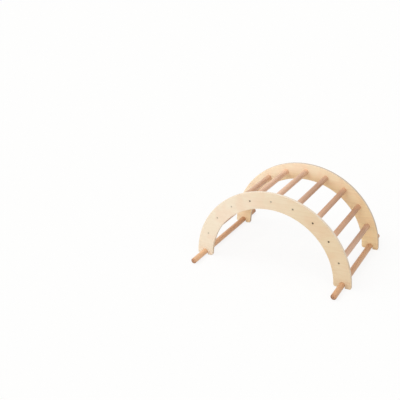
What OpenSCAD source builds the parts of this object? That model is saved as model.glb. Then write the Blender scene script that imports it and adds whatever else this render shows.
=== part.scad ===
// Rocker arch: a half-round climbing frame for small children that turns over to become a rocker.
// Two half-round plywood side panels are tied together by round beech rungs. Each rung end sits in a
// blind socket on the inside of a panel and is held by one screw from outside. Two longer floor bars
// lie in slots under the feet, stick out past both panels, and are held by screws from below.
//
// Millimetres, +Z up. X runs along the arch and Y across it. The origin is on the floor under the
// middle of the arch, which is also the centre of the panels' arcs. The front panel is on the -Y side.

/* [Side panels] */
// Outside radius of a side panel, which is also the height of the arch
outer_radius = 430; // [360:5:520]
// Width of the half-round band, from its outside arc to its inside arc
band_width = 90; // [75:1:110]
// Thickness of a side panel
panel_thickness = 18; // [15:1:24]
// Width over the outside faces of the two side panels
overall_width = 480; // [320:5:640]
// Radius of the rounded edges of a side panel
edge_radius = 3; // [1:0.5:5]
// Radius of the foot corner on the inside of the arch
inner_corner_radius = 12; // [6:1:16]
// Radius of the foot corner on the outside of the arch
outer_corner_radius = 8; // [4:1:16]

/* [Rungs] */
// Number of rungs
rung_count = 9; // [5:1:9]
// Diameter of a rung
rung_diameter = 30; // [24:1:36]
// Angle of the lowest rungs above the floor, seen from the centre of the arch
lowest_rung_angle = 20; // [16:1:26]
// Depth of the blind socket that holds the end of a rung
socket_depth = 6; // [4:1:9]
// Radius of the rounded end of a rung
rung_end_radius = 1; // [0.5:0.5:2]

/* [Floor bars] */
// Diameter of a floor bar
bar_diameter = 30; // [24:1:36]
// Length of floor bar that sticks out past each side panel
bar_overhang = 125; // [60:5:160]
// Gap between a floor bar and the floor, so that the feet carry the arch
bar_ground_gap = 2; // [0:0.5:5]
// Radius of the rounded end of a floor bar
bar_end_radius = 3; // [1:0.5:6]

/* [Screws] */
// Overall length of a screw
screw_length = 50; // [40:5:60]
// Diameter of the countersunk head
screw_head_diameter = 10; // [9:0.5:12]
// Straight rim of the head, above its countersunk cone
screw_rim_height = 1.2; // [0.8:0.1:2]
// Diameter of the shank and of the thread over its crests
screw_shank_diameter = 6.4; // [5:0.1:7]
// Length of the tapered tip
screw_tip_length = 5; // [3:0.5:8]
// Width across the flats of the hexagon socket in the head
hex_width = 4; // [3:0.5:5]
// Depth of the hexagon socket
hex_depth = 2.6; // [2:0.1:3.2]
// Depth of the top of a head below the wood
screw_sink = 0.4; // [0.2:0.1:1.5]

/* [Clearances] */
// Gap all round a rung in its socket
rung_clearance = 0.1; // [0.05:0.05:0.3]
// Gap all round a floor bar in its slot
bar_clearance = 0.1; // [0.05:0.05:0.3]
// Gap all round a screw in its hole
screw_clearance = 0.1; // [0.05:0.05:0.3]

/* [Hidden] */
$fn = 96;

inner_radius = outer_radius - band_width;
middle_radius = outer_radius - band_width / 2;
panel_y = (overall_width - panel_thickness) / 2;
inside_width = overall_width - 2 * panel_thickness;

rung_step = (180 - 2 * lowest_rung_angle) / (rung_count - 1);
rung_length = inside_width + 2 * socket_depth;

bar_z = bar_ground_gap + bar_diameter / 2;
bar_length = overall_width + 2 * bar_overhang;
slot_radius = bar_diameter / 2 + bar_clearance;

// how far a screw hole runs past the tip of its screw
tip_room = 1;
// how far a cutting shape runs past the surface that it cuts
past = 1;

plywood_colour = [0.93, 0.86, 0.75];
rung_colour = [0.77, 0.62, 0.51];
bar_colour = [0.79, 0.60, 0.46];
screw_colour = [0.30, 0.28, 0.26];

// Angle of a rung round the arch, from the right foot. Rung 1 is the lowest on the left.
function rung_angle(i) = 180 - lowest_rung_angle - (i - 1) * rung_step;

// Middle of a fillet between the floor and an arc round the origin. The fillet lies inside the
// band, so it touches the outside arc from within and the inside arc from without.
function outer_fillet_x(r) = sqrt(pow(outer_radius - r, 2) - r * r);
function inner_fillet_x(r) = sqrt(pow(inner_radius + r, 2) - r * r);

// Moves its children, which stand along +Z, to lie along Y on a rung's axis
module at_rung(i) {
    translate([middle_radius * cos(rung_angle(i)), 0, middle_radius * sin(rung_angle(i))])
        rotate([90, 0, 0]) children();
}

// A round rod along Z, centred, with rounded ends
module dowel(diameter, length, end_radius) {
    rotate_extrude() {
        translate([0, -length / 2]) square([diameter / 2 - end_radius, length]);
        translate([0, end_radius - length / 2]) square([diameter / 2, length - 2 * end_radius]);
        for (end = [-1, 1])
            translate([diameter / 2 - end_radius, end * (length / 2 - end_radius)])
                intersection() {
                    circle(end_radius);
                    translate([0, end > 0 ? 0 : -end_radius]) square(end_radius);
                }
    }
}

// The outline of a countersunk screw, head up with its top at z = 0, grown all round by a gap
module screw_body(gap) {
    shank = screw_shank_diameter / 2 + gap;
    head = screw_head_diameter / 2 + gap;
    tip_z = -screw_length - (gap > 0 ? tip_room : 0);
    rotate_extrude()
        polygon([
            [0, 0],
            [head, 0],
            [head, -screw_rim_height],
            [shank, -screw_rim_height - head + shank],
            [shank, tip_z + screw_tip_length],
            [shank / 3, tip_z],
            [0, tip_z]
        ]);
}

module screw() {
    color(screw_colour)
        difference() {
            screw_body(0);
            translate([0, 0, -hex_depth])
                cylinder(d = hex_width / cos(30), h = hex_depth + past, $fn = 6);
        }
}

// The hole for a screw, with room above the sunk head
module screw_hole() {
    screw_body(screw_clearance);
    cylinder(r = screw_head_diameter / 2 + screw_clearance, h = screw_sink + past);
}

// Puts its children at both ends of a rung as the rung's screws stand: head outwards, sunk
module at_rung_screws() {
    for (side = [0, 180])
        rotate([side, 0, 0]) translate([0, 0, overall_width / 2 - screw_sink]) children();
}

// Puts its children under both feet on one side as the bar's screws stand: head down, sunk
module at_bar_screws(side) {
    for (end = [-1, 1])
        translate([side * middle_radius, end * panel_y, bar_ground_gap + screw_sink])
            rotate([180, 0, 0]) children();
}

// Cross-section of the band, from the arch's inside arc to its outside arc, with rounded corners
module band_section() {
    long = band_width - 2 * edge_radius;
    thick = panel_thickness - 2 * edge_radius;
    translate([inner_radius + edge_radius, -panel_thickness / 2]) square([long, panel_thickness]);
    translate([inner_radius, -thick / 2]) square([band_width, thick]);
    for (x = [0, long])
        for (y = [-thick / 2, thick / 2])
            translate([inner_radius + edge_radius + x, y]) circle(edge_radius);
}

// What is cut from one foot to round its corners, seen from the front
module foot_corner_cuts() {
    r_out = outer_corner_radius;
    x_out = outer_fillet_x(r_out);
    reach_out = (outer_radius + past) / (outer_radius - r_out);
    difference() {
        polygon([
            [x_out, -past],
            [outer_radius + past, -past],
            [x_out * reach_out, r_out * reach_out],
            [x_out, r_out]
        ]);
        translate([x_out, r_out]) circle(r_out);
    }
    r_in = inner_corner_radius;
    x_in = inner_fillet_x(r_in);
    reach_in = (inner_radius - past) / (inner_radius + r_in);
    difference() {
        polygon([
            [x_in, -past],
            [inner_radius - past, -past],
            [x_in * reach_in, r_in * reach_in],
            [x_in, r_in]
        ]);
        translate([x_in, r_in]) circle(r_in);
    }
}

// What is cut from under one foot to round its two long bottom edges
module foot_edge_cuts() {
    for (side = [-1, 1])
        translate([inner_radius - past, side * (panel_thickness / 2 - edge_radius), edge_radius])
            rotate([0, 90, 0])
                difference() {
                    translate([0, side > 0 ? 0 : -edge_radius - past, 0])
                        cube([edge_radius + past, edge_radius + past, band_width + 2 * past]);
                    translate([0, 0, -past]) cylinder(r = edge_radius, h = band_width + 4 * past);
                }
}

// The slot for a floor bar, open at the bottom of the foot
module bar_slot() {
    translate([middle_radius, 0, bar_z])
        rotate([90, 0, 0])
            cylinder(r = slot_radius, h = panel_thickness + 2 * past, center = true);
    translate([middle_radius - slot_radius, -panel_thickness / 2 - past, -past])
        cube([2 * slot_radius, panel_thickness + 2 * past, bar_z + past]);
}

// A side panel where the front one stands: outside face to -Y, sockets open to +Y
module side_panel() {
    color(plywood_colour)
        difference() {
            translate([0, -panel_y, 0])
                difference() {
                    rotate([90, 0, 0]) rotate_extrude(angle = 180) band_section();
                    for (side = [0, 180])
                        rotate([0, 0, side]) {
                            rotate([90, 0, 0])
                                linear_extrude(height = panel_thickness + 2 * past, center = true)
                                    foot_corner_cuts();
                            foot_edge_cuts();
                            bar_slot();
                        }
                }
            for (i = [1 : rung_count])
                at_rung(i) {
                    cylinder(r = rung_diameter / 2 + rung_clearance, h = rung_length, center = true);
                    at_rung_screws() screw_hole();
                }
            for (side = [-1, 1])
                at_bar_screws(side) screw_hole();
        }
}

module front_side_panel() {
    side_panel();
}

module rear_side_panel() {
    mirror([0, 1, 0]) side_panel();
}

module rung(i) {
    color(rung_colour)
        at_rung(i)
            difference() {
                dowel(rung_diameter, rung_length, rung_end_radius);
                at_rung_screws() screw_hole();
            }
}

module rung_screws(i) {
    at_rung(i) at_rung_screws() screw();
}

// side is -1 on the left and 1 on the right
module floor_bar(side) {
    color(bar_colour)
        difference() {
            translate([side * middle_radius, 0, bar_z])
                rotate([90, 0, 0]) dowel(bar_diameter, bar_length, bar_end_radius);
            at_bar_screws(side) screw_hole();
        }
}

module bar_screws(side) {
    at_bar_screws(side) screw();
}

front_side_panel();
rear_side_panel();
for (i = [1 : rung_count]) {
    rung(i);
    rung_screws(i);
}
floor_bar(-1);  // left_floor_bar
floor_bar(1);  // right_floor_bar
bar_screws(-1);  // left_bar_screws
bar_screws(1);  // right_bar_screws
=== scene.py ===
# %% [markdown]
# # The rocker arch
#
# This lesson finishes a half-round climbing arch for small children. Two birch plywood side panels are
# tied together by nine beech rungs, and two beech floor bars lie in slots under the feet. Turned over,
# the same piece is a rocker.
#
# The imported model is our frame. It says where every piece is and how big it is, and we never move or
# resize it. Blender adds the looks: a finer surface for every piece, worked out with numpy, and four
# finishes, mixed from a few node groups that they share.

import math

import bmesh
import bpy
import numpy as np
from mathutils import Matrix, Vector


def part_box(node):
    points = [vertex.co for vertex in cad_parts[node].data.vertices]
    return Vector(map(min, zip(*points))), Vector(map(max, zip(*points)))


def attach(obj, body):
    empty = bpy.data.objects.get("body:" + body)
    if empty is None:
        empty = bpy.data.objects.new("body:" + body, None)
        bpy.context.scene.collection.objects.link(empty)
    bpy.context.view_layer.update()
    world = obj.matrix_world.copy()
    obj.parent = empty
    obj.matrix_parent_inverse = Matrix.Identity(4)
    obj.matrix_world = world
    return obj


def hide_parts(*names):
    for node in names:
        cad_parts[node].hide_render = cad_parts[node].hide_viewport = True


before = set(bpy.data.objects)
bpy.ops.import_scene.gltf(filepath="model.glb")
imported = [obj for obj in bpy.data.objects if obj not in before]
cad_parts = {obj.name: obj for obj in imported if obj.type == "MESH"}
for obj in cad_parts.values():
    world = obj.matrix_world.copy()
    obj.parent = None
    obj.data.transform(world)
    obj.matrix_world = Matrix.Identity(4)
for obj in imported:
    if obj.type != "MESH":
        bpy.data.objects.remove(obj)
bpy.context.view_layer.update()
print("The frame has", len(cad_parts), "nodes.")

# %% [markdown]
# ## Sizes
#
# Most sizes can be read off the frame, so we read them there: the panels' radius and thickness, the
# rods' radius, length and place. A size that no box shows, such as the roundness of an edge, is written
# once, in millimetres times MM, because Blender counts in metres.

# %% Read the sizes off the frame
MM = 0.001


def corners(node):
    """The lowest and highest corner of a frame node in metres, to a hundredth of a millimetre."""
    low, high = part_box(node)
    return np.round(np.array(low), 5), np.round(np.array(high), 5)


def rod_axis(node):
    """The x and z of the axis of a rod that lies along Y: the middle of its box."""
    low, high = corners(node)
    return (low[[0, 2]] + high[[0, 2]]) / 2


RUNGS = sorted(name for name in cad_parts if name.startswith("rung_") and "screws" not in name)
BARS = ["left_floor_bar", "right_floor_bar"]

panel_low, panel_high = corners("front_side_panel")
OUTER_RADIUS = panel_high[2]
OUTSIDE_FACE = -panel_low[1]
INSIDE_FACE = -panel_high[1]
THICKNESS = OUTSIDE_FACE - INSIDE_FACE
MIDDLE_RADIUS = round(math.hypot(*rod_axis("rung_1")), 4)
INNER_RADIUS = 2 * MIDDLE_RADIUS - OUTER_RADIUS

rung_low, rung_high = corners("rung_5")
RUNG_RADIUS = (rung_high[0] - rung_low[0]) / 2
RUNG_END = rung_high[1]
right_x, right_z = rod_axis("rung_9")
LOWEST_RUNG = math.radians(round(math.degrees(math.atan2(right_z, right_x)), 1))
rung_angles = np.linspace(math.pi - LOWEST_RUNG, LOWEST_RUNG, len(RUNGS))
HALF_STEP = (rung_angles[0] - rung_angles[1]) / 2

bar_low, bar_high = corners("right_floor_bar")
BAR_RADIUS = (bar_high[0] - bar_low[0]) / 2
BAR_END = bar_high[1]
BAR_X, BAR_Z = rod_axis("right_floor_bar")

head_low, head_high = corners("rung_5_screws")
HEAD_RADIUS = (head_high[0] - head_low[0]) / 2
HEAD_TOP = head_high[1]
BAR_HEAD_TOP = corners("right_bar_screws")[0][2]
PANEL_MIDDLE = (OUTSIDE_FACE + INSIDE_FACE) / 2
print("Band radii", INNER_RADIUS, OUTER_RADIUS, "rod radii", RUNG_RADIUS, BAR_RADIUS, "head", HEAD_RADIUS)

# %% Write the sizes that no box shows
EDGE_RADIUS = 3 * MM
INNER_CORNER = 12 * MM
OUTER_CORNER = 8 * MM
SLOT_NICK = 0.5 * MM
CLEARANCE = 0.1 * MM
SLOT_RADIUS = BAR_RADIUS + CLEARANCE
SOCKET_RADIUS = RUNG_RADIUS + CLEARANCE
RUNG_EASE = 1 * MM
BAR_EASE = 3 * MM

SCREW_LENGTH = 50 * MM
SHANK_RADIUS = 3.2 * MM
CORE_RADIUS = 2.3 * MM
TIP_TAPER = 3
TIP_RADIUS = SHANK_RADIUS / TIP_TAPER
TIP_LENGTH = 5 * MM
TIP_ROOM = 1 * MM
RIM_HEIGHT = 1.2 * MM
RIM_BREAK = 0.25 * MM
HEX_ACROSS = 4 * MM
HEX_DEPTH = 2.6 * MM
THREAD_PITCH = 3 * MM
THREAD_STEEPNESS = 2.5
PLAIN_SHANK = 14 * MM
print("Slot radius", SLOT_RADIUS, "socket radius", SOCKET_RADIUS, "screw tip radius", TIP_RADIUS)

# %% [markdown]
# ## From a formula to a mesh
#
# Every piece is one or more *patches*. A patch is a grid of points, worked out as whole arrays, where a
# row and a column number stand for the two parameters of a surface. Neighbouring grid points make a
# four-sided face. Where two patches meet they have the same points, so merging points that coincide
# sews the patches into one closed skin, and Blender can then turn every face outwards.

# %% Patches and pieces
WELD = 0.001 * MM
SHARP_ANGLE = math.radians(40)


def add_object(name, data):
    """Puts a mesh, a lamp or a camera into the scene."""
    item = bpy.data.objects.new(name, data)
    bpy.context.scene.collection.objects.link(item)
    return item


def patch_faces(rows, columns, closed):
    """Point numbers of a grid's faces: (i, j), (i, j+1), (i+1, j+1), (i+1, j).

    On a closed patch the last column joins the first.
    """
    last = columns if closed else columns - 1
    i, j = np.meshgrid(np.arange(rows - 1), np.arange(last), indexing="ij")
    beside = (j + 1) % columns
    this_row = i * columns
    next_row = this_row + columns
    faces = np.stack([this_row + j, this_row + beside, next_row + beside, next_row + j])
    return faces.reshape(4, -1).T


def make_piece(name, patches, material, node):
    """Sews patches, given as (grid of points, closed), into a piece that stands for a frame node."""
    points = []
    faces = []
    count = 0
    for grid, closed in patches:
        rows, columns = grid.shape[:2]
        points.append(grid.reshape(-1, 3))
        faces.append(patch_faces(rows, columns, closed) + count)
        count += rows * columns
    mesh = bpy.data.meshes.new(name)
    mesh.from_pydata(np.concatenate(points).tolist(), [], np.concatenate(faces).tolist())
    skin = bmesh.new()
    skin.from_mesh(mesh)
    bmesh.ops.remove_doubles(skin, verts=skin.verts, dist=WELD)
    bmesh.ops.recalc_face_normals(skin, faces=skin.faces)
    open_edges = sum(not edge.is_manifold for edge in skin.edges)
    skin.to_mesh(mesh)
    skin.free()
    mesh.shade_smooth()
    mesh.set_sharp_from_angle(angle=SHARP_ANGLE)
    mesh.materials.append(material)
    piece = add_object(name, mesh)
    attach(piece, "root")
    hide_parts(node)
    print(name, "has", len(mesh.polygons), "faces and", open_edges, "open edges")
    return piece


# %% [markdown]
# ## Curves on the flat of a panel
#
# A panel is drawn flat first, in x and z. The one curve that we need is an arc: a centre plus a radius
# times the unit vector at each angle. The unit vectors are kept, because they also say which way is out.

# %% An arc
def arc(centre, radius, start, end, steps):
    """Points centre + radius * (cos a, sin a) for angles a from start to end, and the unit vectors."""
    angle = np.linspace(start, end, steps + 1)
    away = np.stack([np.cos(angle), np.sin(angle)], axis=-1)
    return np.asarray(centre) + radius * away, away


# %% [markdown]
# ## The outline of a side panel
#
# The real panel is cut from an 18 mm birch board by a router, and its long edges are then rounded to
# 3 mm, so that small hands meet no corner. The slot for the floor bar is cut last. Its edges are only
# broken with sandpaper.
#
# So each point of the outline carries two directions: *eased*, the way out of the wood where the edge is
# rounded, and *nicked*, where it is only broken. Both are zero where they don't apply. The outline runs
# from the outside arc down round the right foot, over the inside arc, round the left foot and back.

# %% Runs of the outline
CELL_STEPS = 28
FOOT_STEPS = 16
CORNER_STEPS = 8
SLOT_STEPS = 48
WALL_STEPS = 6
ACROSS_STEPS = 12
LOWEST_CELL = LOWEST_RUNG - HALF_STEP
DOWN = np.array([0.0, -1.0])
# Rows of points between a hole and its border, close together at both ends, where the shading turns
SPREAD = np.array([0.0, 0.03, 0.2, 0.4, 0.6, 0.8, 0.97, 1.0])


def run(points, eased=(0, 0), nicked=(0, 0)):
    """Rows of the outline: a point, the way its edge is rounded and the way its edge is broken."""
    rows = np.zeros((len(points), 6))
    rows[:, 0:2] = points
    rows[:, 2:4] = eased
    rows[:, 4:6] = nicked
    return rows


def band_run(radius, start, end, steps):
    """A stretch of a long edge of the band, with the way out of the wood: outwards or inwards."""
    points, away = arc((0, 0), radius, start, end, steps)
    return run(points, eased=away if radius == OUTER_RADIUS else -away)


def corner_run(centre_radius, corner_radius, start, end):
    """A foot's rounded corner, from where it touches the band's edge down to the floor line.

    Its centre is as high above the floor as its radius. start and end are the angles that the corner
    would run between if the foot stood square.
    """
    touch = math.asin(corner_radius / centre_radius)
    centre = (centre_radius * math.cos(touch), corner_radius)
    points, away = arc(centre, corner_radius, start + touch, end, CORNER_STEPS)
    return run(points, eased=away), touch


outer_corner, outer_touch = corner_run(OUTER_RADIUS - OUTER_CORNER, OUTER_CORNER, 0, -math.pi / 2)
inner_corner, inner_touch = corner_run(INNER_RADIUS + INNER_CORNER, INNER_CORNER, math.pi, 1.5 * math.pi)
foot_outside = band_run(OUTER_RADIUS, LOWEST_CELL, outer_touch, FOOT_STEPS)
foot_inside = band_run(INNER_RADIUS, inner_touch, LOWEST_CELL, FOOT_STEPS)
print("corner centres at x", outer_corner[-1, 0], inner_corner[-1, 0])

# %% The slot and the floor line beside it
slot_arc, away = arc((BAR_X, BAR_Z), SLOT_RADIUS, 0, math.pi, SLOT_STEPS)
wall_heights = np.linspace(EDGE_RADIUS, BAR_Z, WALL_STEPS + 1)[:-1]
right_wall = np.stack([np.full(WALL_STEPS, BAR_X + SLOT_RADIUS), wall_heights], axis=-1)
left_wall = np.stack([np.full(WALL_STEPS, BAR_X - SLOT_RADIUS), wall_heights[::-1]], axis=-1)
slot_sides = np.concatenate(
    [
        run([[BAR_X + SLOT_RADIUS, 0]], eased=DOWN, nicked=(-1, 0)),
        run(right_wall, nicked=(-1, 0)),
        run(slot_arc, nicked=-away),
        run(left_wall, nicked=(1, 0)),
        run([[BAR_X - SLOT_RADIUS, 0]], eased=DOWN, nicked=(1, 0)),
    ]
)


def floor_run(slot_edge, corner_end):
    """Points on the floor line, spread as the rows of the foot's face are, without its two ends."""
    x = slot_edge + (corner_end - slot_edge) * SPREAD[1:-1]
    return run(np.stack([x, np.zeros(len(x))], axis=-1), eased=DOWN)


outer_floor = floor_run(BAR_X + SLOT_RADIUS + SLOT_NICK, outer_corner[-1, 0])[::-1]
inner_floor = floor_run(BAR_X - SLOT_RADIUS - SLOT_NICK, inner_corner[-1, 0])
foot_runs = [foot_outside, outer_corner[1:], outer_floor, slot_sides]
foot_runs += [inner_floor, inner_corner[::-1], foot_inside[1:]]
right_foot = np.concatenate(foot_runs)
left_foot = right_foot[::-1] * np.array([-1, 1, -1, 1, -1, 1])

ALL_STEPS = CELL_STEPS * len(RUNGS)
long_inside = band_run(INNER_RADIUS, LOWEST_CELL, math.pi - LOWEST_CELL, ALL_STEPS)
long_outside = band_run(OUTER_RADIUS, math.pi - LOWEST_CELL, LOWEST_CELL, ALL_STEPS)
outline = np.concatenate([right_foot, long_inside[1:-1], left_foot, long_outside[1:-1]])
print("The outline has", len(outline), "points.")

# %% [markdown]
# ## The edge band
#
# The panel's edge is a profile carried along the outline: a quarter circle off the outside face, a flat
# stretch across the plywood, and a quarter circle onto the inside face. A profile row is a depth below
# the outside face and how far it lies inside the outline at that depth.

# %% Carry the edge profile along the outline
EASE_STEPS = 6
FLAT_STEPS = 6


def corner_inset(depth, radius):
    """How far a quarter-round corner lies inside a square one: r - sqrt(r^2 - (r - depth)^2)."""
    short = np.clip(radius - depth, 0, radius)
    return radius - np.sqrt(radius**2 - short**2)


quarter = EDGE_RADIUS * (1 - np.cos(np.linspace(0, math.pi / 2, EASE_STEPS + 1)))
flat = np.linspace(EDGE_RADIUS, THICKNESS - EDGE_RADIUS, FLAT_STEPS + 1)
profile_depth = np.concatenate([quarter, flat[1:-1], THICKNESS - quarter[::-1]])
nearest_face = np.minimum(profile_depth, THICKNESS - profile_depth)
eased_inset = corner_inset(nearest_face, EDGE_RADIUS)
nicked_inset = corner_inset(nearest_face, SLOT_NICK)


def stand_up(flat_points, depth):
    """Turns points (x, z) on the flat into the front panel's points at a depth below its outside face."""
    y = np.broadcast_to(depth - OUTSIDE_FACE, flat_points.shape[:-1])
    return np.stack([flat_points[..., 0], y, flat_points[..., 1]], axis=-1)


def face_line(rows):
    """Where a run of the outline meets the flat face: moved in by the whole easing."""
    return rows[:, 0:2] - EDGE_RADIUS * rows[:, 2:4] - SLOT_NICK * rows[:, 4:6]


band_points = (
    outline[None, :, 0:2]
    - eased_inset[:, None, None] * outline[None, :, 2:4]
    - nicked_inset[:, None, None] * outline[None, :, 4:6]
)
edge_band = stand_up(band_points, profile_depth[:, None])
print("The edge band is a grid of", edge_band.shape[:2])

# %% [markdown]
# ## The flat faces, the sockets and the screw holes
#
# Round each rung, the face is a ring of straight lines from the hole to the border of the rung's share
# of the band. The outside face has the countersunk hole of the screw. The inside face has the blind
# socket of the rung, 6 mm deep. One turned profile joins them: rim, cone, shank hole, socket floor and
# socket wall. The foot's faces are a horseshoe: straight lines from the slot to the foot's border.

# %% A ring between a hole and its border
def pierced(border, centre, radius):
    """Rows of points from a hole's rim to its border: rim + spread * (border - rim).

    Each rim point lies on the straight line from the centre to its border point.
    Returns the points and the unit vectors from the centre.
    """
    away = border - centre
    away = away / np.linalg.norm(away, axis=-1, keepdims=True)
    rim = centre + radius * away
    return rim + SPREAD[:, None, None] * (border - rim), away


def straight(start, end):
    """Points on the straight line from start to end, without its two ends."""
    share = np.linspace(0, 1, ACROSS_STEPS + 1)[1:-1, None]
    return start + share * (end - start)


def rung_border(angle):
    """The closed border of one rung's share of the flat face: two arcs and two straight lines."""
    low, high = INNER_RADIUS + EDGE_RADIUS, OUTER_RADIUS - EDGE_RADIUS
    inside, _ = arc((0, 0), low, angle - HALF_STEP, angle + HALF_STEP, CELL_STEPS)
    outside, _ = arc((0, 0), high, angle + HALF_STEP, angle - HALF_STEP, CELL_STEPS)
    outwards = straight(inside[-1], outside[0])
    inwards = straight(outside[-1], inside[0])
    return np.concatenate([inside, outwards, outside, inwards])


HOLE_RADIUS = HEAD_RADIUS + CLEARANCE
SHANK_HOLE = SHANK_RADIUS + CLEARANCE
SINK = OUTSIDE_FACE - HEAD_TOP
RIM_DEPTH = SINK + RIM_HEIGHT
CONE_DEPTH = RIM_DEPTH + HEAD_RADIUS - SHANK_RADIUS
SOCKET_FLOOR = OUTSIDE_FACE - RUNG_END
BORE_RADIUS = np.array([HOLE_RADIUS, HOLE_RADIUS, SHANK_HOLE, SHANK_HOLE, SOCKET_RADIUS, SOCKET_RADIUS])
BORE_DEPTH = np.array([0, RIM_DEPTH, CONE_DEPTH, SOCKET_FLOOR, SOCKET_FLOOR, THICKNESS])


def rung_patches(angle):
    """The outside face, the bore and the inside face of one rung's share of a panel."""
    centre = MIDDLE_RADIUS * np.array([math.cos(angle), math.sin(angle)])
    border = rung_border(angle)
    outside, away = pierced(border, centre, HOLE_RADIUS)
    inside, _ = pierced(border, centre, SOCKET_RADIUS)
    bore = stand_up(centre + BORE_RADIUS[:, None, None] * away, BORE_DEPTH[:, None])
    return [(stand_up(outside, 0), True), (bore, True), (stand_up(inside, THICKNESS), True)]


# %% The horseshoe of a foot
def foot_patches(side):
    """The two flat faces of one foot: straight lines from the slot's edge to the foot's border."""
    outside, inside = face_line(foot_outside), face_line(foot_inside)
    border = np.concatenate(
        [
            face_line(outer_corner)[::-1],
            outside[-2::-1],
            straight(outside[0], inside[-1]),
            inside[::-1],
            face_line(inner_corner)[1:],
        ]
    )
    slot = face_line(slot_sides[1:-1])
    face = (slot + SPREAD[:, None, None] * (border - slot)) * np.array([side, 1])
    return [(stand_up(face, 0), False), (stand_up(face, THICKNESS), False)]


front_patches = [(edge_band, True)]
for angle in rung_angles:
    front_patches += rung_patches(angle)
for side in (-1, 1):
    front_patches += foot_patches(side)
REARWARDS = np.array([1, -1, 1])
rear_patches = [(grid * REARWARDS, closed) for grid, closed in front_patches]
print("A panel has", len(front_patches), "patches.")

# %% [markdown]
# ## The rods
#
# Rungs and floor bars are turned beech. A turned surface is a profile spun round an axis: radius and
# place along the axis for each row, an angle for each column. A rung also has a pilot hole in each end
# for its screw.

# %% Spin a profile round an axis along Y
ROUND_STEPS = 72
SIDE_ROWS = 18
round_angles = np.linspace(-math.pi, math.pi, ROUND_STEPS, endpoint=False)


def spun(radius, along, centre, angles=round_angles):
    """Points (x0 + r sin a, y, z0 - r cos a) for rows (r, y) and column angles a, measured from below."""
    radius = np.asarray(radius, dtype=float)[:, None]
    along = np.broadcast_to(np.asarray(along, dtype=float)[:, None], (len(radius), len(angles)))
    x = centre[0] + radius * np.sin(angles)
    z = centre[1] - radius * np.cos(angles)
    return np.stack([x, along, z], axis=-1)


def eased_end(radius, end, ease):
    """Profile rows (r, y) from a rod's flat end, over its rounded rim, to the start of its side."""
    turn = np.linspace(0, math.pi / 2, EASE_STEPS + 1)
    return radius - ease * (1 - np.sin(turn)), end - ease * (1 - np.cos(turn))


def rung_patch(node):
    """One closed profile: pilot hole, flat end, rounded rim, side, and the same again at the far end."""
    tip = HEAD_TOP - SCREW_LENGTH - TIP_ROOM
    hole_radius = [0, SHANK_HOLE / TIP_TAPER, SHANK_HOLE, SHANK_HOLE]
    hole_along = [tip, tip, tip + TIP_LENGTH + TIP_ROOM, RUNG_END]
    rim_radius, rim_along = eased_end(RUNG_RADIUS, RUNG_END, RUNG_EASE)
    radius = np.concatenate([hole_radius, rim_radius])
    along = np.concatenate([hole_along, rim_along])
    side = np.linspace(along[-1], -along[-1], SIDE_ROWS)[1:-1]
    radius = np.concatenate([radius, np.full(len(side), RUNG_RADIUS), radius[::-1]])
    along = np.concatenate([along, side, -along[::-1]])
    return [(spun(radius, along, rod_axis(node)), True)]


# %% [markdown]
# A floor bar is pierced from below by two screws, one under each foot. Seen from above or below, the
# window of bar round such a hole is a rectangle in x and y, so the same ring of straight lines serves:
# it is laid out flat and then lifted onto the round of the bar, z = -sqrt(R^2 - x^2).

# %% A floor bar with its two screw holes
WINDOW_STEPS = 16
WINDOW_ANGLE = WINDOW_STEPS / 2 * 2 * math.pi / ROUND_STEPS
WINDOW_HALF = 10 * MM
WINDOW_ROWS = 8
DISC_ROWS = 5
OVERHANG_ROWS = 4
MIDDLE_ROWS = 10


def window_border():
    """The closed border of the window round a screw hole, in x and y from the hole's centre."""
    turn = np.linspace(-WINDOW_ANGLE, WINDOW_ANGLE, WINDOW_STEPS + 1)
    x = BAR_RADIUS * np.sin(turn)
    y = np.linspace(-WINDOW_HALF, WINDOW_HALF, WINDOW_ROWS + 1)[1:-1]
    near = np.stack([x, np.full_like(x, -WINDOW_HALF)], axis=-1)
    right = np.stack([np.full_like(y, x[-1]), y], axis=-1)
    return np.concatenate([near, right, -near, -right])


def screw_window(centre, y):
    """The patches of one collar of the bar: both windows, the bore between them and the two sides."""
    border = window_border()
    below, away = pierced(border, np.zeros(2), HOLE_RADIUS)
    above, _ = pierced(border, np.zeros(2), SHANK_HOLE)
    bore_radius = np.array([HOLE_RADIUS, HOLE_RADIUS, SHANK_HOLE, SHANK_HOLE])
    bore = bore_radius[:, None, None] * away
    rim_height = BAR_HEAD_TOP + RIM_HEIGHT
    height = np.empty(bore.shape[:2])
    height[0] = BAR_Z - np.sqrt(BAR_RADIUS**2 - bore[0, :, 0] ** 2)
    height[1] = rim_height
    height[2] = rim_height + HEAD_RADIUS - SHANK_RADIUS
    height[3] = BAR_Z + np.sqrt(BAR_RADIUS**2 - bore[3, :, 0] ** 2)

    def lifted(flat_points, z):
        return np.stack([flat_points[..., 0] + centre[0], flat_points[..., 1] + y, z], axis=-1)

    lift_below = np.sqrt(BAR_RADIUS**2 - below[..., 0] ** 2)
    lift_above = np.sqrt(BAR_RADIUS**2 - above[..., 0] ** 2)
    patches = [(lifted(below, BAR_Z - lift_below), True)]
    patches += [(lifted(above, BAR_Z + lift_above), True)]
    patches += [(lifted(bore, height), True)]
    side = np.linspace(WINDOW_ANGLE, math.pi - WINDOW_ANGLE, ROUND_STEPS // 2 - WINDOW_STEPS + 1)
    rows = y + np.linspace(-WINDOW_HALF, WINDOW_HALF, WINDOW_ROWS + 1)
    full = np.full(len(rows), BAR_RADIUS)
    patches += [(spun(full, rows, centre, turn), False) for turn in (side, side + math.pi)]
    return patches


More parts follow.
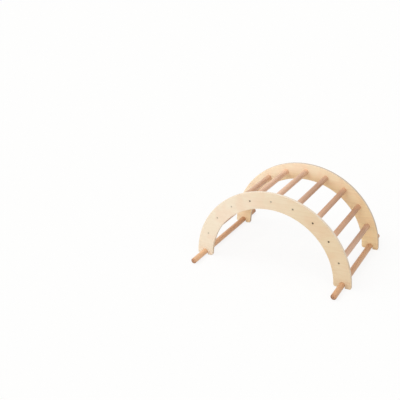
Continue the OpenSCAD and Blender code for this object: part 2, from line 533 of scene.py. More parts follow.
def bar_patches(node):
    """Two spun ends, the spun stretch between the collars, and the two collars with their screw holes.

    An end is a flat disc, a quarter-round rim and the overhang, as far as the collar.
    """
    centre = rod_axis(node)
    rim_radius, rim_along = eased_end(BAR_RADIUS, BAR_END, BAR_EASE)
    far_side = PANEL_MIDDLE + WINDOW_HALF
    near_side = PANEL_MIDDLE - WINDOW_HALF
    disc = np.linspace(0, rim_radius[0], DISC_ROWS + 1)[:-1]
    overhang = np.linspace(rim_along[-1], far_side, OVERHANG_ROWS + 1)[1:]
    end_radius = np.concatenate([disc, rim_radius, np.full(OVERHANG_ROWS, BAR_RADIUS)])
    end_along = np.concatenate([np.full(DISC_ROWS, BAR_END), rim_along, overhang])
    middle = np.linspace(-near_side, near_side, MIDDLE_ROWS)
    patches = [(spun(end_radius, side * end_along, centre), True) for side in (-1, 1)]
    patches += [(spun(np.full(len(middle), BAR_RADIUS), middle, centre), True)]
    for side in (-1, 1):
        patches += screw_window(centre, side * PANEL_MIDDLE)
    return patches


# %% [markdown]
# ## The screws
#
# Each joint is drawn up by a furniture screw: a countersunk head with a hexagon socket, a plain shank
# and a coarse thread. It is one more spun profile, but here the radius changes with the angle too. In
# the socket it is a hexagon's: half the width across flats, divided by the cosine of the angle to the
# nearest flat. On the thread it is the core plus a ridge that climbs one pitch in each turn.

# %% A countersunk hexagon-socket screw
SCREW_STEPS = 36
THREAD_ROWS = 5
screw_angles = np.linspace(0, 2 * math.pi, SCREW_STEPS, endpoint=False)


def hexagon(across):
    """A hexagon's radius at each angle: (across / 2) / cos(angle to the middle of the nearest flat)."""
    sixth = math.pi / 3
    return across / 2 / np.cos((screw_angles + sixth / 2) % sixth - sixth / 2)


def thread_radius(depth):
    """The core plus a ridge, 1 - |2 frac(depth / pitch + angle / turn) - 1| * steepness, kept above 0."""
    turns = depth[:, None] / THREAD_PITCH + screw_angles / (2 * math.pi)
    ridge = np.clip(1 - np.abs(2 * (turns % 1) - 1) * THREAD_STEEPNESS, 0, 1)
    return CORE_RADIUS + (SHANK_RADIUS - CORE_RADIUS) * ridge


def screw_patch():
    """The screw as a grid of points (r cos a, r sin a, -depth), with the top of its head at the origin."""
    cone_end = RIM_HEIGHT + HEAD_RADIUS - SHANK_RADIUS
    thread_end = SCREW_LENGTH - TIP_LENGTH
    rows = round((thread_end - PLAIN_SHANK) / THREAD_PITCH * THREAD_ROWS)
    thread_depth = np.linspace(PLAIN_SHANK, thread_end, rows)
    hexes = [hexagon(HEX_ACROSS), hexagon(HEX_ACROSS), hexagon(HEX_ACROSS + 2 * RIM_BREAK)]
    rounds = [HEAD_RADIUS - RIM_BREAK, HEAD_RADIUS, HEAD_RADIUS, SHANK_RADIUS, SHANK_RADIUS]
    radius = np.concatenate(
        [
            np.zeros((1, SCREW_STEPS)),
            np.stack(hexes),
            np.repeat(np.array(rounds)[:, None], SCREW_STEPS, axis=1),
            thread_radius(thread_depth),
            np.full((1, SCREW_STEPS), TIP_RADIUS),
            np.zeros((1, SCREW_STEPS)),
        ]
    )
    head_depth = [HEX_DEPTH, HEX_DEPTH, RIM_BREAK, 0, 0, RIM_BREAK, RIM_HEIGHT, cone_end, PLAIN_SHANK - MM]
    depth = np.concatenate([head_depth, thread_depth, [SCREW_LENGTH, SCREW_LENGTH]])
    x = radius * np.cos(screw_angles)
    y = radius * np.sin(screw_angles)
    return np.stack([x, y, np.broadcast_to(-depth[:, None], x.shape)], axis=-1)


def placed_screw(twist, tilt, place):
    """A screw turned on its own axis, then tilted about X, then moved: its head top comes to place."""
    turn = np.array(Matrix.Rotation(tilt, 3, "X") @ Matrix.Rotation(twist, 3, "Z"))
    return screw_patch() @ turn.T + np.asarray(place)


print("A screw is a grid of", screw_patch().shape[:2])

# %% [markdown]
# ## Helpers for materials
#
# Colours are written as they would be picked on a screen, from 0 to 255, and turned into the light
# values that Blender mixes. A shader node is added by one call. Its inputs are values or other nodes'
# outputs, and shorter calls stand for the nodes that come up most.

# %% Colours, nodes and groups
def paint(red, green, blue):
    """A screen colour as linear light: ((c + 0.055) / 1.055) ^ 2.4, or c / 12.92 where c is small."""
    c = np.array([red, green, blue]) / 255
    linear = np.where(c <= 0.04045, c / 12.92, ((c + 0.055) / 1.055) ** 2.4)
    return (*linear.tolist(), 1.0)


def set_inputs(tree, node, inputs):
    """Sets a node's inputs, by name or number, to values or to other nodes' outputs."""
    for key, value in inputs.items():
        if isinstance(value, bpy.types.NodeSocket):
            tree.links.new(value, node.inputs[key])
        else:
            node.inputs[key].default_value = value


def put(tree, kind, inputs=None, **settings):
    """Adds a shader node with its settings and its inputs."""
    node = tree.nodes.new("ShaderNode" + kind)
    for key, value in settings.items():
        setattr(node, key, value)
    set_inputs(tree, node, inputs or {})
    return node


def maths(tree, operation, *values):
    """One step of arithmetic on values that change over the surface."""
    return put(tree, "Math", dict(enumerate(values)), operation=operation).outputs[0]


def times(tree, first, second):
    """One value times another."""
    return maths(tree, "MULTIPLY", first, second)


def add_shares(tree, total, masks, shares):
    """The total plus each named mask times its share."""
    for name, share in shares.items():
        total = maths(tree, "ADD", total, times(tree, masks[name], share))
    return total


def stored(tree, name):
    """The number that the mesh stores at each point under this name."""
    return put(tree, "Attribute", attribute_name=name).outputs["Fac"]


def noise(tree, vector, scale, detail=2.0, roughness=0.5):
    """A smooth random value from 0 to 1."""
    inputs = {"Vector": vector, "Scale": scale, "Detail": detail, "Roughness": roughness}
    return put(tree, "TexNoise", inputs).outputs["Fac"]


def remap(tree, value, low, high, to_low=0.0, to_high=1.0):
    """A smooth step: to_low below low, to_high above high."""
    inputs = {"Value": value, "From Min": low, "From Max": high, "To Min": to_low, "To Max": to_high}
    return put(tree, "MapRange", inputs, interpolation_type="SMOOTHSTEP").outputs["Result"]


def mix(tree, share, first, second, blend="MIX"):
    """Two colours mixed: all first where share is 0, all second where it is 1."""
    inputs = {0: share, 6: first, 7: second}
    return put(tree, "Mix", inputs, data_type="RGBA", blend_type=blend).outputs[2]


def tint(tree, share, colour, by):
    """A colour multiplied by another: not at all where share is 0, in full where it is 1."""
    return mix(tree, share, colour, by, blend="MULTIPLY")


def stretched(tree, vector, scale):
    """The vector with each coordinate multiplied."""
    return put(tree, "VectorMath", {0: vector, 1: scale}, operation="MULTIPLY").outputs["Vector"]


def start_group(name, inputs, outputs):
    """A node group: inputs are (name, kind, default) and outputs are names of values."""
    tree = bpy.data.node_groups.new(name, "ShaderNodeTree")
    for label, kind, default in inputs:
        socket = tree.interface.new_socket(label, in_out="INPUT", socket_type="NodeSocket" + kind)
        if default is not None:
            socket.default_value = default
    for label in outputs:
        tree.interface.new_socket(label, in_out="OUTPUT", socket_type="NodeSocketFloat")
    entry = tree.nodes.new("NodeGroupInput")
    return tree, entry.outputs, tree.nodes.new("NodeGroupOutput")


def use_group(tree, group, inputs):
    """Places a group in a material and returns its masks by name."""
    return dict(put(tree, "Group", inputs, node_tree=group).outputs.items())


def start_material(name):
    """A material with a Principled shader."""
    material = bpy.data.materials.new(name)
    material.use_nodes = True
    return material, material.node_tree, material.node_tree.nodes["Principled BSDF"]


def wire(tree, shader, inputs, height, depth):
    """Sets the shader's inputs and its relief. depth is the height of full relief in metres."""
    bump = put(tree, "Bump", {"Height": height, "Distance": depth})
    set_inputs(tree, shader, inputs | {"Normal": bump.outputs["Normal"]})


# %% [markdown]
# ## Effects that the finishes share
#
# All the wood here shows the same few things, at different sizes. *Growth rings* come from the distance
# to the middle of the log: each ring is pale early wood that darkens to late wood. *Fibres* are fine
# streaks along the grain, with small pores between them. *Flecks* are the short brown dashes that mark
# beech. *Handling* is the soft unevenness of oil and fingers. Each is a node group that puts out
# plain masks, and each finish has tables that say what share they have in its tone, roughness and
# relief. The grain always runs along the third coordinate of the vector called Timber.

# %% Growth rings
WANDER_ALONG = 0.08
WANDER_SCALE = 30
LATE_WOOD_POWER = 2.5


def make_growth_rings():
    """Late wood = frac((distance to the pith + wander * noise) / ring width) ^ late wood power."""
    inputs = [("Timber", "Vector", None), ("Ring width", "Float", 0.0025), ("Wander", "Float", 0.002)]
    tree, given, out = start_group("growth_rings", inputs, ["Late wood", "Ring tone"])
    drawn_out = stretched(tree, given["Timber"], (1, 1, WANDER_ALONG))
    shift = times(tree, noise(tree, drawn_out, WANDER_SCALE), given["Wander"])
    across = stretched(tree, given["Timber"], (1, 1, 0))
    distance = put(tree, "VectorMath", {0: across}, operation="LENGTH").outputs["Value"]
    rings = maths(tree, "DIVIDE", maths(tree, "ADD", distance, shift), given["Ring width"])
    late = maths(tree, "POWER", maths(tree, "FRACT", rings), LATE_WOOD_POWER)
    tone = put(tree, "TexWhiteNoise", {"W": maths(tree, "FLOOR", rings)}, noise_dimensions="1D")
    set_inputs(tree, out, {"Late wood": late, "Ring tone": tone.outputs["Value"]})
    return tree


growth_rings = make_growth_rings()


# %% Fibres and pores
STREAK_ALONG = 0.025
PORE_ALONG = 0.06
PORE_FINENESS = 3.0
PORE_BAND = (0.62, 0.72)


def make_fibres():
    """Streak = fine noise drawn out along the grain. Pore = the highest specks of a finer one."""
    inputs = [("Timber", "Vector", None), ("Fineness", "Float", 700.0)]
    tree, given, out = start_group("wood_fibres", inputs, ["Streak", "Pore"])
    streak_place = stretched(tree, given["Timber"], (1, 1, STREAK_ALONG))
    pore_place = stretched(tree, given["Timber"], (1, 1, PORE_ALONG))
    streak = noise(tree, streak_place, given["Fineness"], detail=3.0, roughness=0.6)
    pore_scale = times(tree, given["Fineness"], PORE_FINENESS)
    pore = remap(tree, noise(tree, pore_place, pore_scale, detail=1.0), *PORE_BAND)
    set_inputs(tree, out, {"Streak": streak, "Pore": pore})
    return tree


wood_fibres = make_fibres()


# %% Ray flecks
FLECK_ALONG = 0.14
FLECK_BAND = (0.16, 0.3)


def make_flecks():
    """Long cells drawn out along the grain; a fleck is the middle of those cells picked by chance."""
    inputs = [("Timber", "Vector", None), ("Fineness", "Float", 420.0), ("Share", "Float", 0.5)]
    tree, given, out = start_group("ray_flecks", inputs, ["Fleck"])
    place = stretched(tree, given["Timber"], (1, 1, FLECK_ALONG))
    cells = put(tree, "TexVoronoi", {"Vector": place, "Scale": given["Fineness"], "Randomness": 1.0})
    middle = remap(tree, cells.outputs["Distance"], *FLECK_BAND, to_low=1.0, to_high=0.0)
    chance = put(tree, "SeparateColor", {"Color": cells.outputs["Color"]}).outputs["Red"]
    picked = maths(tree, "LESS_THAN", chance, given["Share"])
    set_inputs(tree, out, {"Fleck": times(tree, middle, picked)})
    return tree


ray_flecks = make_flecks()


# %% Handling and edges
CLOUD_SCALE = 9
SMUDGE_SCALE = 38
SMUDGE_BAND = (0.35, 0.7)
BREAK_SCALE = 160
BREAK_BAND = (0.3, 0.6)
FACING_BAND = (0.2, 0.8)
TURNING_BAND = (0.05, 0.22)


def make_handling():
    """Cloud = slow uneven tone of the oil. Smudge = where hands have polished it, for roughness."""
    tree, given, out = start_group("handling", [("Place", "Vector", None)], ["Cloud", "Smudge"])
    cloud = noise(tree, given["Place"], CLOUD_SCALE, detail=3.0)
    smudge = remap(tree, noise(tree, given["Place"], SMUDGE_SCALE, detail=4.0), *SMUDGE_BAND)
    set_inputs(tree, out, {"Cloud": cloud, "Smudge": smudge})
    return tree


def make_eased_edge():
    """Facing = how squarely the surface faces along Y, |ny|. Edge = 1 where |ny| (1 - |ny|) is large."""
    inputs = [("Normal", "Vector", None), ("Place", "Vector", None)]
    tree, given, out = start_group("eased_edge", inputs, ["Facing", "Edge"])
    along = put(tree, "SeparateXYZ", {"Vector": given["Normal"]}).outputs["Y"]
    facing = maths(tree, "ABSOLUTE", along)
    turning = times(tree, facing, maths(tree, "SUBTRACT", 1.0, facing))
    broken = remap(tree, noise(tree, given["Place"], BREAK_SCALE, detail=3.0), *BREAK_BAND)
    edge = times(tree, remap(tree, turning, *TURNING_BAND), broken)
    set_inputs(tree, out, {"Facing": remap(tree, facing, *FACING_BAND), "Edge": edge})
    return tree


handling = make_handling()
eased_edge = make_eased_edge()
print("Shared effects:", [group.name for group in bpy.data.node_groups])

# %% [markdown]
# ## Birch plywood
#
# The panels are thirteen thin sheets of birch, glued with the grain of each across the grain of the
# last. The faces are peeled veneer: pale cream, with a faint wavy figure. The edge shows the sheets as
# stripes, long grain in one and end grain in the next, with a hair of brown glue between. Which one
# looks darker swaps as the edge turns round the arch, so the stripes are worked out from the depth in
# the board and the direction of the edge.
#
# No veneer is one colour all over. Four attributes, stored on the mesh further down, say how it
# changes. The first turns it from pale to tan; on the rear panel, towards its lower right, and along
# the inside edges of the inside faces it also paints the shade of the rungs and the front panel. The
# second is 1 on the rear panel, a yellower board, and also paints shade on that panel's edge. The
# third paints light onto the inside faces low near the feet, and the fourth paints shade on the edge
# towards the floor. A slow noise adds the pink *blush* of birch.

# %% The face veneer
VENEER_PALE = paint(238, 224, 203)
VENEER_TAN = paint(221, 200, 167)
WARM_PALE = paint(251, 233, 205)
WARM_TAN = paint(237, 210, 168)
VENEER_FIGURE = paint(208, 174, 132)
VENEER_BLUSH = paint(254, 247, 245)
# Painted light: the paler veneer low on the inside faces near the feet
VENEER_PAINTED_LIGHT = paint(254, 229, 182)
CLOUD_SHARE = 0.5
BLUSH_SCALE = 14
BLUSH_BAND = (0.42, 0.66)
FIGURE_SHARES = {"Late wood": 0.18, "Streak": 0.08, "Pore": 0.22}
FIGURE_WHEN_PALE = 0.4
FIGURE_WHEN_TAN = 1.3


def face_veneer(tree, place, masks):
    """Pale to tan by the stored tan, which also paints shade, plus share * (cloud - 1/2), then
    painted light and blush, and the figure on top.
    """
    tan_and_shade = stored(tree, "tan_and_shade")
    warm_and_shaded = stored(tree, "warm_and_shaded")
    painted_light = stored(tree, "painted_light")
    uneven = times(tree, maths(tree, "SUBTRACT", masks["Cloud"], 0.5), CLOUD_SHARE)
    pale = mix(tree, warm_and_shaded, VENEER_PALE, WARM_PALE)
    tan = mix(tree, warm_and_shaded, VENEER_TAN, WARM_TAN)
    # Partly painted shade: on the rear panel and along the inside edges the tan stands for the rungs'
    # shade
    veneer = mix(tree, maths(tree, "ADD", tan_and_shade, uneven), pale, tan)
    # Painted light: paler veneer low on the inside faces near the feet
    veneer = mix(tree, painted_light, veneer, VENEER_PAINTED_LIGHT)
    blush = remap(tree, noise(tree, place, BLUSH_SCALE), *BLUSH_BAND)
    veneer = tint(tree, blush, veneer, VENEER_BLUSH)
    figure = add_shares(tree, 0.0, masks, FIGURE_SHARES)
    strength = remap(tree, tan_and_shade, 0.0, 1.0, FIGURE_WHEN_PALE, FIGURE_WHEN_TAN)
    return mix(tree, times(tree, figure, strength), veneer, VENEER_FIGURE)


# %% The striped edge
PLY_LONG_GRAIN = paint(247, 237, 221)
PLY_END_GRAIN = paint(226, 207, 186)
# Painted shade: on the rear panel's edge, and on the edge towards the floor
PLY_SHADED = paint(184, 173, 168)
PLY_SHADE_BELOW = paint(228, 216, 200)
GLUE_LINE = paint(156, 128, 100)
SPECKLE_SHARE = 0.3
SHADE_WHEN_WARM = 0.5
LEAST_SHADE_BELOW = 0.5
GLUE_BAND = (0.42, 0.48)
GLUE_SHARE = 0.6


def striped_edge(tree, normal, layer, speckle, smudge):
    """Long grain and end grain by turns, with painted shade on the rear panel's edge and towards the
    floor, and a line of glue wherever two sheets meet.

    End grain is |nz| on the odd sheets and |nx| on the even ones, where n is the way the edge faces.
    Returns the colour and the end grain.
    """
    warm_and_shaded = stored(tree, "warm_and_shaded")
    shade_below = stored(tree, "shade_below")
    faces = put(tree, "SeparateXYZ", {"Vector": normal}).outputs
    odd = maths(tree, "MODULO", maths(tree, "FLOOR", layer), 2.0)
    end_of_odd = maths(tree, "ABSOLUTE", faces["Z"])
    end_of_even = maths(tree, "ABSOLUTE", faces["X"])
    by_turns = put(tree, "Mix", {0: odd, 2: end_of_even, 3: end_of_odd}, data_type="FLOAT")
    end_grain = by_turns.outputs[0]
    stripe = mix(tree, end_grain, PLY_LONG_GRAIN, PLY_END_GRAIN)
    stripe = mix(tree, times(tree, speckle, SPECKLE_SHARE), stripe, PLY_LONG_GRAIN)
    # Painted shade on the rear panel's edge
    stripe = tint(tree, times(tree, warm_and_shaded, SHADE_WHEN_WARM), stripe, PLY_SHADED)
    # Painted shade: the edge darker towards the floor
    shade_below_share = times(tree, shade_below, maths(tree, "ADD", smudge, LEAST_SHADE_BELOW))
    stripe = tint(tree, shade_below_share, stripe, PLY_SHADE_BELOW)
    off_middle = maths(tree, "ABSOLUTE", maths(tree, "SUBTRACT", maths(tree, "FRACT", layer), 0.5))
    glue = times(tree, remap(tree, off_middle, *GLUE_BAND), GLUE_SHARE)
    return mix(tree, glue, stripe, GLUE_LINE), end_grain


# %% The plywood finish
PLIES = 13
SPECKLE_SCALE = 900
PLY_ROUGH = (0.58, 0.48)
PLY_ROUGHER = {"Inner": 0.14}
PLY_GLOSS = 0.4
PLY_RELIEF = 0.06 * MM
PLY_HEIGHTS = {"Streak": 0.6, "Pore": -0.4, "Sunk": -1.0, "Edge": -0.3}


def make_plywood():
    """Face veneer where the depth lies in an outermost sheet, striped edge elsewhere."""
    material, tree, shader = start_material("birch_plywood_oiled")
    coords = put(tree, "TexCoord").outputs
    place = coords["Object"]
    xyz = put(tree, "SeparateXYZ", {"Vector": place}).outputs
    grain_along_x = put(tree, "CombineXYZ", {"X": xyz["Z"], "Y": xyz["Y"], "Z": xyz["X"]})
    timber = grain_along_x.outputs["Vector"]
    masks = use_group(tree, growth_rings, {"Timber": timber, "Ring width": 0.02, "Wander": 0.09})
    masks |= use_group(tree, wood_fibres, {"Timber": timber, "Fineness": 520.0})
    masks |= use_group(tree, handling, {"Place": place})
    masks |= use_group(tree, eased_edge, {"Normal": coords["Normal"], "Place": place})
    speckle = noise(tree, place, SPECKLE_SCALE, detail=3.0)

    depth = maths(tree, "SUBTRACT", maths(tree, "ABSOLUTE", xyz["Y"]), float(INSIDE_FACE))
    layer = maths(tree, "DIVIDE", depth, float(THICKNESS / PLIES))
    off_centre = maths(tree, "ABSOLUTE", maths(tree, "SUBTRACT", layer, PLIES / 2))
    inner = maths(tree, "LESS_THAN", off_centre, PLIES / 2 - 1)
    veneer = face_veneer(tree, place, masks)
    stripe, end_grain = striped_edge(tree, coords["Normal"], layer, speckle, masks["Smudge"])
    colour = mix(tree, inner, veneer, stripe)

    masks["Inner"] = inner
    masks["Sunk"] = times(tree, times(tree, end_grain, inner), speckle)
    rough = remap(tree, masks["Smudge"], 0, 1, *PLY_ROUGH)
    rough = add_shares(tree, rough, masks, PLY_ROUGHER)
    height = add_shares(tree, 0.0, masks, PLY_HEIGHTS)
    inputs = {"Base Color": colour, "Roughness": rough, "Specular IOR Level": PLY_GLOSS}
    wire(tree, shader, inputs, height, PLY_RELIEF)
    return material


plywood = make_plywood()
print("Plywood of", PLIES, "sheets, each", round(THICKNESS / PLIES / MM, 2), "mm thick")

# %% [markdown]
# ## Beech
#
# Rungs and floor bars are the same timber, but the bars came out of browner boards. The wood is reddish
# beige, with quiet rings, fine fibres and many short brown flecks. Each rod was cut from its own place
# in a log, so each mesh carries an attribute, *timber*, the place in the log where each of its points
# grew. The rings follow from it on the side and on the end alike. *Tone* says how dark the rod is along
# its length: partly its own tone, partly painted shade towards the rear panel and painted light at the
# ends, next to the pale panels. *Red* says how red its board was.
#
# Across a cut end the fibres are seen end on. The oil soaks in there, and the wood turns darker and
# duller: at the heart, along the late wood, and round the rim, where *soaked* says how much.

# %% The side of a rod
RED_BOARD = paint(255, 246, 235)
TONE_SHARES = {"Cloud": 0.4, "Late wood": 0.2, "Ring tone": 0.12, "Streak": 0.2}
FLECK_SHARE = 0.45
PORE_SHARE = 0.25


def beech_side(tree, light, dark, spot, masks, fleck):
    """Light to dark by tone, reddened by red, with flecks and pores on top."""
    tone = add_shares(tree, stored(tree, "tone"), masks, TONE_SHARES)
    colour = mix(tree, tone, light, dark)
    colour = tint(tree, stored(tree, "red"), colour, RED_BOARD)
    colour = mix(tree, times(tree, fleck, FLECK_SHARE), colour, spot)
    return mix(tree, times(tree, masks["Pore"], PORE_SHARE), colour, spot)


# %% The cut end of a rod
RAGGED_SCALE = 420
RAGGED_REACH = 6 * MM
HEART_BAND = (5 * MM, 9 * MM)
HEART_SHARE = 0.9
RIM_BAND = (12 * MM, 17 * MM)
LATE_WOOD_SHARE = 0.4


def beech_end(tree, pale, dark, timber, late_wood):
    """Dark near the axis, far from the rim's pale point and in the late wood, all with ragged borders."""
    from_axis = stored(tree, "from_axis")
    from_pale_point = stored(tree, "from_pale_point")
    soaked = stored(tree, "soaked")
    ragged = times(tree, noise(tree, timber, RAGGED_SCALE, detail=5.0), RAGGED_REACH)
    heart = remap(tree, maths(tree, "ADD", from_axis, ragged), *HEART_BAND, HEART_SHARE, 0.0)
    rim = remap(tree, maths(tree, "ADD", from_pale_point, ragged), *RIM_BAND)
    darkness = maths(tree, "MAXIMUM", heart, times(tree, rim, soaked))
    late = times(tree, late_wood, LATE_WOOD_SHARE)
    return mix(tree, maths(tree, "MAXIMUM", darkness, late), pale, dark)


# %% The beech finishes
END_SHARE = 0.8
BEECH_ROUGH = (0.5, 0.36)
BEECH_ROUGHER = {"Facing": 0.25}
BEECH_GLOSS = 0.45
BEECH_RELIEF = 0.05 * MM
BEECH_HEIGHTS = {"Streak": 1.0, "Pore": -0.5, "Fleck": -0.2}


def make_beech(name, light, dark, fleck_colour, end_colour, heart_colour):
    """The side's colour, and the cut end's where the surface faces along the rod."""
    material, tree, shader = start_material(name)
    coords = put(tree, "TexCoord").outputs
    timber = put(tree, "Attribute", attribute_name="timber").outputs["Vector"]
    masks = use_group(tree, growth_rings, {"Timber": timber, "Ring width": 0.0026, "Wander": 0.004})
    masks |= use_group(tree, wood_fibres, {"Timber": timber, "Fineness": 800.0})
    masks |= use_group(tree, ray_flecks, {"Timber": timber, "Fineness": 520.0, "Share": 0.42})
    masks |= use_group(tree, handling, {"Place": timber})
    masks |= use_group(tree, eased_edge, {"Normal": coords["Normal"], "Place": coords["Object"]})

    on_side = maths(tree, "SUBTRACT", 1.0, masks["Facing"])
    fleck = times(tree, masks["Fleck"], on_side)
    side = beech_side(tree, light, dark, fleck_colour, masks, fleck)
    end = beech_end(tree, end_colour, heart_colour, timber, masks["Late wood"])
    colour = mix(tree, times(tree, masks["Facing"], END_SHARE), side, end)

    rough = remap(tree, masks["Smudge"], 0, 1, *BEECH_ROUGH)
    rough = add_shares(tree, rough, masks, BEECH_ROUGHER)
    height = add_shares(tree, 0.0, masks, BEECH_HEIGHTS)
    inputs = {"Base Color": colour, "Roughness": rough, "Specular IOR Level": BEECH_GLOSS}
    wire(tree, shader, inputs, height, BEECH_RELIEF)
    return material


rung_beech = make_beech(
    "beech_rung_oiled",
    light=paint(229, 192, 166),
    dark=paint(158, 115, 87),
    fleck_colour=paint(140, 96, 68),
    end_colour=paint(196, 150, 118),
    heart_colour=paint(128, 88, 62),
)
bar_beech = make_beech(
    "beech_floor_bar_oiled",
    light=paint(226, 182, 143),
    dark=paint(168, 118, 84),
    fleck_colour=paint(140, 92, 62),
    end_colour=paint(194, 142, 108),
    heart_colour=paint(112, 74, 52),
)

# %% [markdown]
# ## Dark steel
#
# The screws are steel with a dark bronzed skin. The skin is thin, so where the driver has rubbed it, on
# the rim and in the socket, brighter metal shows. Each screw is also paler all over by its own share; on
# the front screws this paler skin is partly painted sheen, most of all on the three at the left, whose
# heads the light washes out. Metal has no colour of its own under light, only tinted reflections, so
# the shader's Metallic is 1 and its base colour is the tint.

# %% The screw finish
BRONZE_DARK = paint(84, 70, 54)
BRONZE_LIGHT = paint(112, 96, 76)
# The paler skin of wear, and on the front screws of painted sheen
WORN_SKIN_AND_SHEEN = paint(222, 210, 188)
RUBBED_EDGE = paint(150, 138, 118)
RUBBED_SHARE = 0.5
MOTTLE_FINENESS = (8, 8, 8)
STEEL_ROUGH = (0.5, 0.34)
STEEL_RELIEF = 0.02 * MM


def make_dark_steel():
    """Dark bronze mottled by cloud, paler by wear and painted sheen, with brighter rubbed edges."""
    material, tree, shader = start_material("dark_steel_bronzed")
    coords = put(tree, "TexCoord").outputs
    place = coords["Object"]
    masks = use_group(tree, handling, {"Place": stretched(tree, place, MOTTLE_FINENESS)})
    masks |= use_group(tree, eased_edge, {"Normal": coords["Normal"], "Place": place})
    colour = mix(tree, masks["Cloud"], BRONZE_DARK, BRONZE_LIGHT)
    # Wear, and on the front screws painted sheen: a paler skin
    colour = mix(tree, stored(tree, "wear_and_sheen"), colour, WORN_SKIN_AND_SHEEN)
    colour = mix(tree, times(tree, masks["Edge"], RUBBED_SHARE), colour, RUBBED_EDGE)
    rough = remap(tree, masks["Smudge"], 0, 1, *STEEL_ROUGH)
    inputs = {"Base Color": colour, "Roughness": rough, "Metallic": 1.0}
    wire(tree, shader, inputs, masks["Cloud"], STEEL_RELIEF)
    return material


dark_steel = make_dark_steel()
print("Finishes:", [m.name for m in (plywood, rung_beech, bar_beech, dark_steel)])

# %% [markdown]
# ## Build the wooden pieces
#
# Now the shapes and the finishes come together. The two panels are mirror images, but one board is
# paler than the other. Each rod gets its own place in a log: how far from the pith it was cut, which way
# round it lies, and where along the trunk. It gets its own tone too, because no two rods on the real
# arch look alike.

# %% Panels
# Painted shade of the rungs along the inside edge of the inside faces, above the feet
INSIDE_EDGE_SHADE = 0.95
INSIDE_EDGE_SHADE_WIDTH = 65 * MM
INSIDE_EDGE_SHADE_ABOVE = 130 * MM
# Painted light low on the inside faces near the feet, where it lifts the rungs' shade
PAINTED_LIGHT = 0.8
PAINTED_LIGHT_WIDTH = 90 * MM
PAINTED_LIGHT_CORE = 30 * MM
PAINTED_LIGHT_BELOW = 260 * MM
# Painted shade on the edge, from this height down to the floor
SHADE_BELOW_FROM = 260 * MM
FACE_MARGIN = 0.2 * MM


def positions(mesh):
    """The places of all mesh points as rows x, y, z."""
    points = np.empty(len(mesh.vertices) * 3, dtype=np.float32)
    mesh.vertices.foreach_get("co", points)
    return points.reshape(-1, 3)


def store(mesh, name, values):
    """Stores one number, or one vector, for each mesh point."""
    values = np.asarray(values, dtype=np.float32)
    single = values.ndim == 1
    attribute = mesh.attributes.new(name, "FLOAT" if single else "FLOAT_VECTOR", "POINT")
    attribute.data.foreach_set("value" if single else "vector", values.ravel())


def step(values, start, end):
    """The smooth step s^2 (3 - 2 s), where s runs from 0 to 1 as the value goes from start to end."""
    s = np.clip((values - start) / (end - start), 0, 1)
    return s**2 * (3 - 2 * s)


def mark_veneer(piece, way, start, end, most, warm_and_shaded):
    """Stores how tan the veneer is, with painted shade and painted light, how warm the board is, and the
    painted shade of the edge.

    The tan goes from 0 to most as place . way goes from start to end; on the rear panel, which turns tan
    towards its lower right, this is painted shade. On the inside face the tan goes up again towards the
    inside edge of the band, but not down at the feet: painted shade of the rungs. There painted light
    lifts the veneer instead, where it is tan and near the band's inside edge. The board's warmth also
    paints shade on the rear panel's edge. The edge is painted darker towards the floor, as shade.
    """
    points = positions(piece.data)
    tan_and_shade = most * step(points @ np.array(way), start, end)
    from_inside = np.hypot(points[:, 0], points[:, 2]) - INNER_RADIUS
    on_inside_face = np.abs(points[:, 1]) < INSIDE_FACE + FACE_MARGIN
    # Painted shade: the rungs' shadows along the band's inside edge on the inside faces
    inside_edge_shade = INSIDE_EDGE_SHADE * step(from_inside, INSIDE_EDGE_SHADE_WIDTH, 0) * step(points[:, 2], 0, INSIDE_EDGE_SHADE_ABOVE) * on_inside_face
    # Painted light: lifts the rungs' shade low on the inside faces, where the veneer is tan
    painted_light = tan_and_shade * PAINTED_LIGHT * step(from_inside, PAINTED_LIGHT_WIDTH, PAINTED_LIGHT_CORE) * step(points[:, 2], PAINTED_LIGHT_BELOW, 0)
    store(piece.data, "tan_and_shade", 1 - (1 - tan_and_shade) * (1 - inside_edge_shade))
    store(piece.data, "painted_light", painted_light * on_inside_face)
    store(piece.data, "warm_and_shaded", np.full(len(points), warm_and_shaded))
    # Painted shade: the edge darker towards the floor
    store(piece.data, "shade_below", step(points[:, 2], SHADE_BELOW_FROM, 0))


front_panel = make_piece("front_panel_plywood", front_patches, plywood, "front_side_panel")
rear_panel = make_piece("rear_panel_plywood", rear_patches, plywood, "rear_side_panel")
# Front: pale on the left to tan on the right. Rear: tan towards the lower right, as painted shade.
mark_veneer(front_panel, (1, 0, 0), start=-0.33, end=0.33, most=0.9, warm_and_shaded=0.0)
mark_veneer(rear_panel, (0.6, 0, -1), start=-0.51, end=-0.02, most=1.0, warm_and_shaded=1.0)

# %% Rods, each with its own tone
LOG_SEED = 11
NEAREST_PITH = 18 * MM
FARTHEST_PITH = 70 * MM
TRUNK_LENGTH = 9.0
# Painted light at both ends of a rod, from this share of its half length outwards
END_LIGHT_FROM = 0.55
# The rim of a cut end is palest towards this point, up and to the right of the axis
RIM_PALE_POINT = (3 * MM, 4 * MM)
